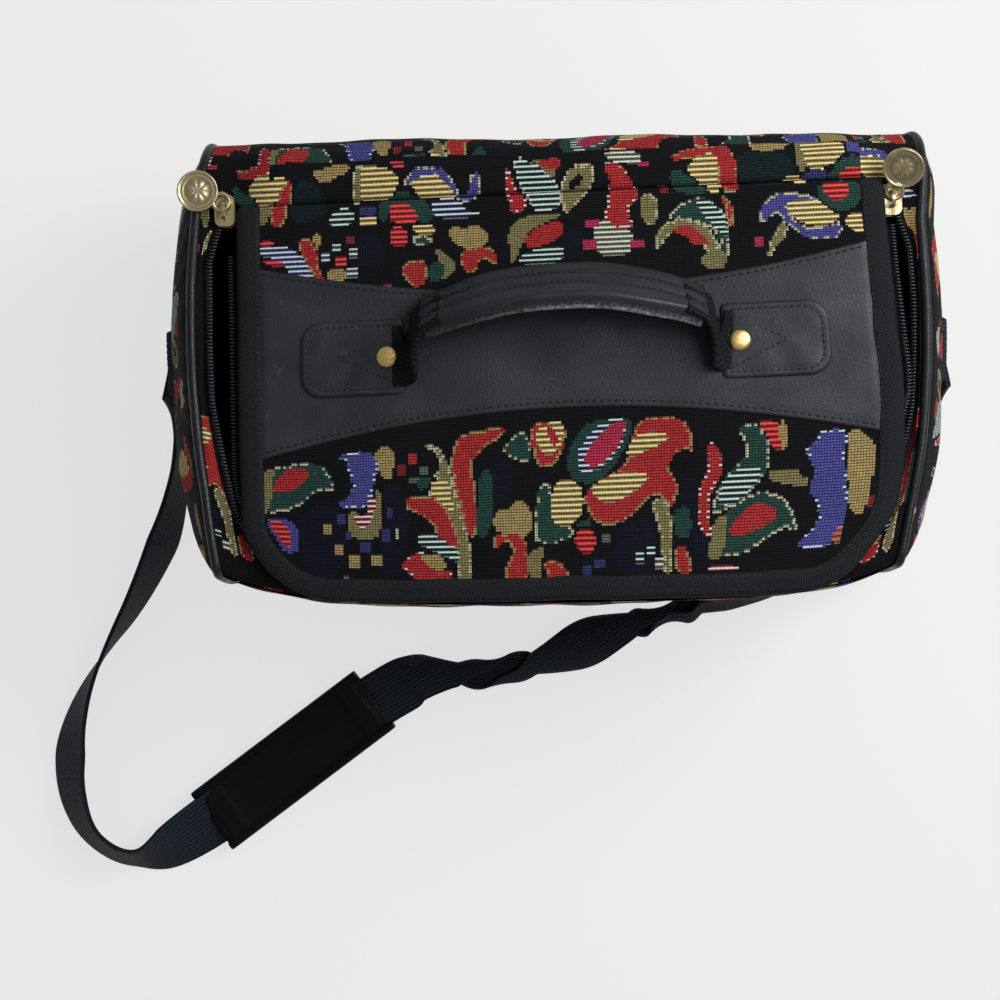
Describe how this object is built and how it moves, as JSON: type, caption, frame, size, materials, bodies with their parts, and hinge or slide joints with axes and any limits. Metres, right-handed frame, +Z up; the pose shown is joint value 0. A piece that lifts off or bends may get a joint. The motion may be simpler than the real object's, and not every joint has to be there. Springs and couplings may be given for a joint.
{
  "type": "carpet bag",
  "caption": "Soft tapestry train case with a zip-round lid, leather yoke and carry handle, piped ends and a shoulder strap with a pad.",
  "frame": {"origin": "middle of the base on the surface that the bag stands on", "axes": "+X along the length to the right end, -Y is the front, +Z up"},
  "size_m": [0.4443, 0.3489, 0.196],
  "materials": {
    "tapestry": "woven floral tapestry, multicolour threads on a near black ground",
    "piping": "smooth dark leather over a round cord, slight sheen",
    "lining_cloth": "plain dark lining cloth",
    "zip_tape": "black herringbone zip tape",
    "zip_coil": "black nylon coil, slight sheen",
    "binding_tape": "black herringbone binding tape",
    "leather": "dark navy leather, fine grain, scuffed",
    "brass": "antique brass, darkened in the recesses",
    "webbing": "black ribbed webbing",
    "pad_vinyl": "dark soft vinyl, slight sheen"
  },
  "bodies": {
    "case": {"base_panel": "tapestry", "front_panel": "tapestry", "back_panel": "tapestry", "left_gusset": "tapestry", "right_gusset": "tapestry", "left_end_panel": "tapestry", "right_end_panel": "tapestry", "left_piping": "piping", "right_piping": "piping", "lining": "lining_cloth", "zip_tape_case": "zip_tape", "zip_coil_case": "zip_coil", "shoulder_strap": "webbing", "left_strap_tab": "webbing", "right_strap_tab": "webbing", "shoulder_pad": "pad_vinyl"},
    "lid": {"lid_panel": "tapestry", "lid_lining": "lining_cloth", "lid_binding": "binding_tape", "zip_tape_lid": "zip_tape", "zip_coil_lid": "zip_coil", "lid_yoke": "leather", "left_handle_tab": "leather", "right_handle_tab": "leather", "handle_rivets": "brass"},
    "handle": {"handle_grip": "leather", "left_handle_webbing": "webbing", "right_handle_webbing": "webbing"},
    "left_slider": {"left_slider": "brass"},
    "right_slider": {"right_slider": "brass"},
    "left_pull": {"left_pull": "brass"},
    "right_pull": {"right_pull": "brass"}
  },
  "joints": [
    {"name": "lid_hinge", "type": "hinge", "parent": "case", "child": "lid", "pos_m": [0, 0.08215, 0.1619], "axis": [-1, 0, 0], "range_deg": [0, 110]},
    {"name": "handle_swing", "type": "hinge", "parent": "lid", "child": "handle", "pos_m": [0, 0.009, 0.1645], "axis": [1, 0, 0], "range_deg": [0, 100], "deforming": ["left_handle_webbing", "right_handle_webbing"]},
    {"name": "left_slider_slide", "type": "slide", "parent": "case", "child": "left_slider", "axis": [0, -1, 0], "range_m": [0, 0.118]},
    {"name": "right_slider_slide", "type": "slide", "parent": "case", "child": "right_slider", "axis": [0, -1, 0], "range_m": [0, 0.118]},
    {"name": "left_pull_lift", "type": "hinge", "parent": "left_slider", "child": "left_pull", "pos_m": [-0.1475, 0.073, 0.16005], "axis": [0.4226, 0.9063, 0], "range_deg": [0, 30]},
    {"name": "right_pull_lift", "type": "hinge", "parent": "right_slider", "child": "right_pull", "pos_m": [0.1475, 0.073, 0.16005], "axis": [0.9455, -0.3256, 0], "range_deg": [0, 90]}
  ]
}
